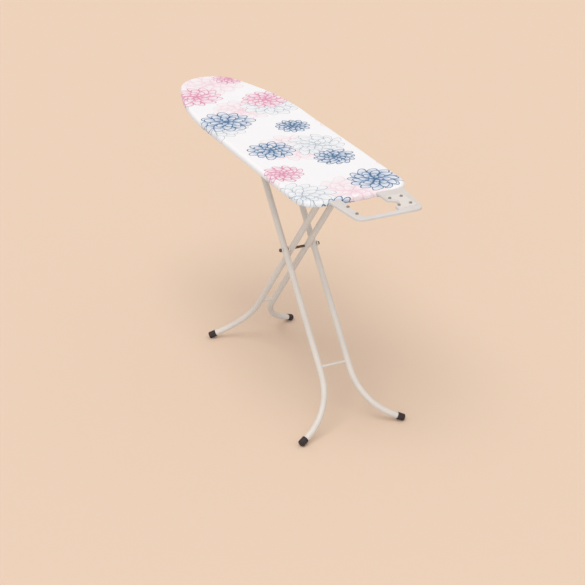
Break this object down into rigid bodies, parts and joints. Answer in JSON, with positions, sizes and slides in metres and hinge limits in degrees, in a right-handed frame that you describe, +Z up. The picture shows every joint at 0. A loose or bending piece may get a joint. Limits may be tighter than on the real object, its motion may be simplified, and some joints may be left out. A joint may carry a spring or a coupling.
{
  "type": "ironing board",
  "caption": "Folding ironing board: padded board with a printed cover, crossed tube legs with splayed feet, a slide rail for height setting and an iron rest at the heel.",
  "frame": {"origin": "on the floor, under the middle of the whole object's box", "axes": "+X from the nose to the heel and its iron rest, +Y across to the far side, +Z up"},
  "size_m": [1.2909, 0.3574, 0.777],
  "materials": {
    "cover_cotton": "woven cotton, printed",
    "pad_felt": "needled felt",
    "elastic_tape": "knitted elastic",
    "deck_steel": "satin powder coat",
    "leg_paint": "satin powder coat",
    "rest_paint": "satin powder coat",
    "rest_plate": "moulded, matt",
    "stud_silicone": "moulded silicone",
    "zinc_steel": "zinc plated",
    "spring_steel": "drawn wire",
    "grip_plastic": "moulded, matt",
    "foot_rubber": "moulded, matt",
    "black_steel": "blackened",
    "white_nylon": "moulded, matt"
  },
  "bodies": {
    "board": {"deck_panel": "deck_steel", "felt_pad": "pad_felt", "cover": "cover_cotton", "hem_elastic": "elastic_tape", "slide_rail": "zinc_steel", "rail_rivets": "zinc_steel", "hinge_bracket": "zinc_steel", "bracket_rivets": "zinc_steel", "lever_pin": "zinc_steel", "lever_spring": "spring_steel", "iron_rest": "rest_paint", "rest_panel": "rest_plate", "rest_studs": "stud_silicone", "rest_arm_left": "zinc_steel", "rest_arm_right": "zinc_steel", "rest_rivets": "zinc_steel", "rest_screws": "zinc_steel"},
    "release_lever": {"release_bar": "zinc_steel", "release_rod": "zinc_steel", "release_grip": "grip_plastic"},
    "inner_legs": {"inner_tube_left": "leg_paint", "inner_tube_right": "leg_paint", "inner_foot_left": "foot_rubber", "inner_foot_right": "foot_rubber", "inner_cross_bar": "leg_paint", "inner_tube_plugs": "white_nylon", "hinge_axle": "zinc_steel", "hinge_push_nuts": "zinc_steel", "pivot_rod": "black_steel", "pivot_washers": "white_nylon", "pivot_spacers": "white_nylon", "pivot_nuts": "black_steel"},
    "outer_legs": {"outer_tube_left": "leg_paint", "outer_tube_right": "leg_paint", "outer_foot_left": "foot_rubber", "outer_foot_right": "foot_rubber", "outer_cross_bar": "leg_paint", "outer_tube_plugs": "white_nylon", "slide_rod": "zinc_steel", "slide_sleeves": "white_nylon", "slide_push_nuts": "zinc_steel"}
  },
  "joints": [
    {"name": "leg_fold", "type": "hinge", "parent": "board", "child": "inner_legs", "pos_m": [0.3445, 0, 0.733], "axis": [0, 1, 0], "range_deg": [0, 49.15]},
    {"name": "leg_cross", "type": "hinge", "parent": "inner_legs", "child": "outer_legs", "pos_m": [0.11948, 0, 0.45857], "axis": [0, 1, 0], "range_deg": [-98.3, 0]},
    {"name": "release_squeeze", "type": "hinge", "parent": "board", "child": "release_lever", "pos_m": [0.00847, 0, 0.748], "axis": [0, -1, 0], "range_deg": [0, 4.5], "stiffness_Nm_per_rad": 3, "springref_deg": -4.58, "deforming": ["lever_spring"]}
  ],
  "couplings": [
    {"joint": "leg_cross", "follows": "leg_fold", "ratio": -2}
  ]
}
